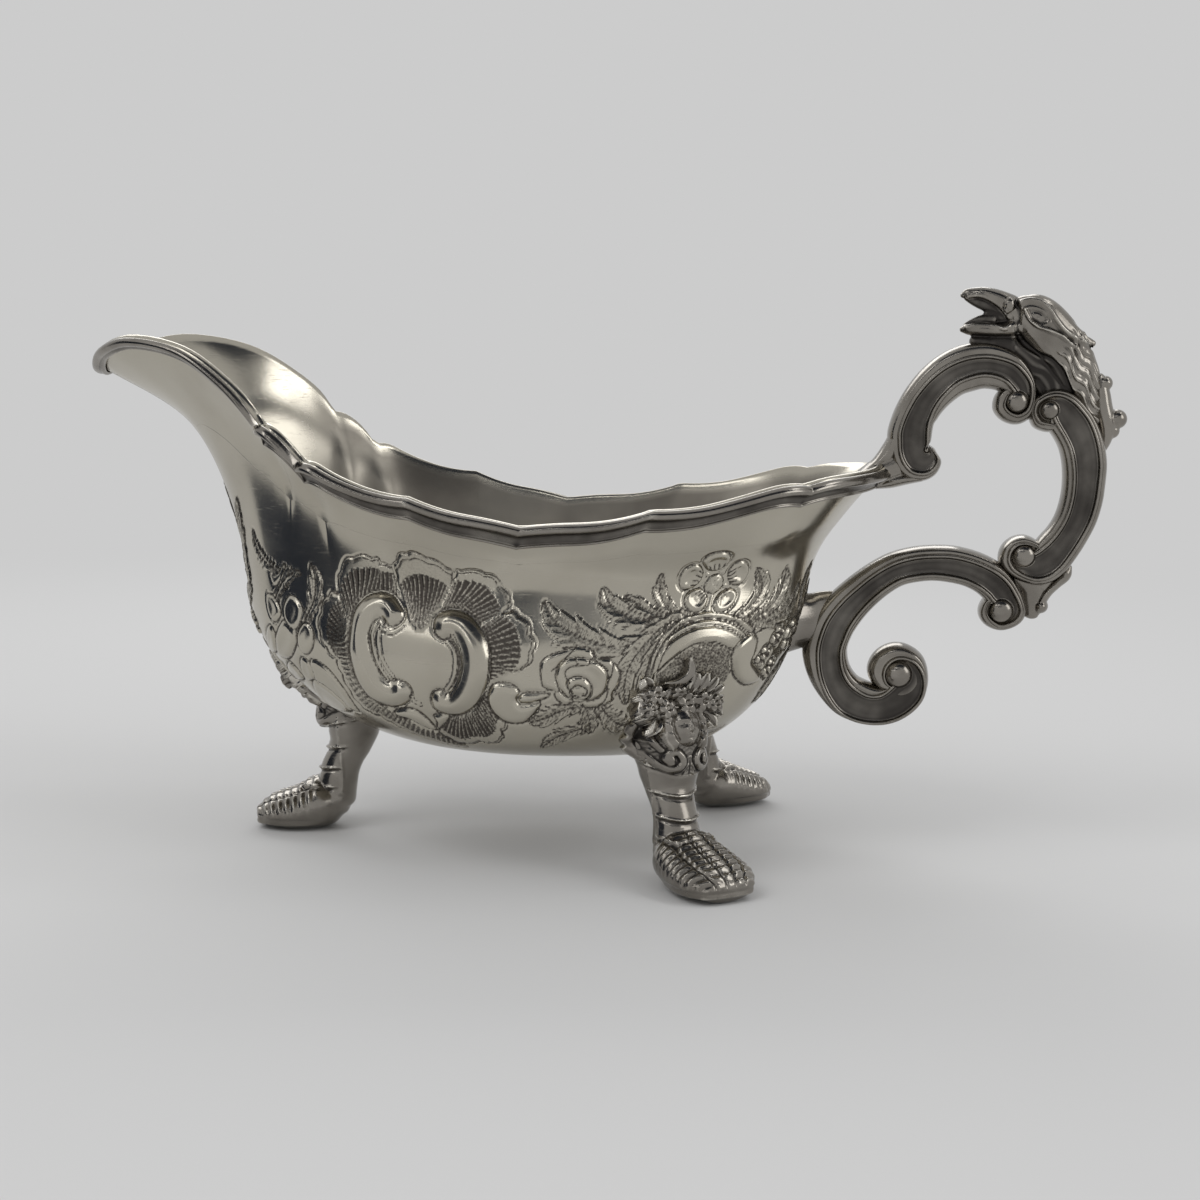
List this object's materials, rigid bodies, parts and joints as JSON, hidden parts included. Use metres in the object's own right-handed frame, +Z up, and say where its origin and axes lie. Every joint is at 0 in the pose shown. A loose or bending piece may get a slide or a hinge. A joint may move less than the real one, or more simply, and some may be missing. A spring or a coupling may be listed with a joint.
{
  "type": "cream boat",
  "caption": "Small silver boat for cream or sauce, with a long pouring lip, a scalloped rim, cast legs with masks at the knees and a scroll handle with a bird head.",
  "frame": {"origin": "centre of the overall box, on the plane that the feet stand on", "axes": "+Z up, -X towards the pouring lip, +X towards the handle, Y across the boat"},
  "size_m": [0.1655, 0.0764, 0.0901],
  "materials": {
    "chased_silver": "polished and chased silver with dark patina in the chasing",
    "border_silver": "polished moulded silver wire",
    "cast_silver": "cast silver, darkened in the hollows"
  },
  "bodies": {
    "root": {"bowl": "chased_silver", "rim_wire_left": "border_silver", "rim_wire_right": "border_silver", "lip_wire": "border_silver", "front_shield": "cast_silver", "front_leg": "cast_silver", "front_mask": "cast_silver", "left_shield": "cast_silver", "left_leg": "cast_silver", "left_mask": "cast_silver", "right_shield": "cast_silver", "right_leg": "cast_silver", "right_mask": "cast_silver", "upper_scroll": "cast_silver", "back_scroll": "cast_silver", "lower_scroll": "cast_silver", "bird_head": "cast_silver", "neck_leaf": "cast_silver", "lower_spur": "cast_silver", "upper_socket": "cast_silver", "lower_socket": "cast_silver"}
  },
  "joints": []
}
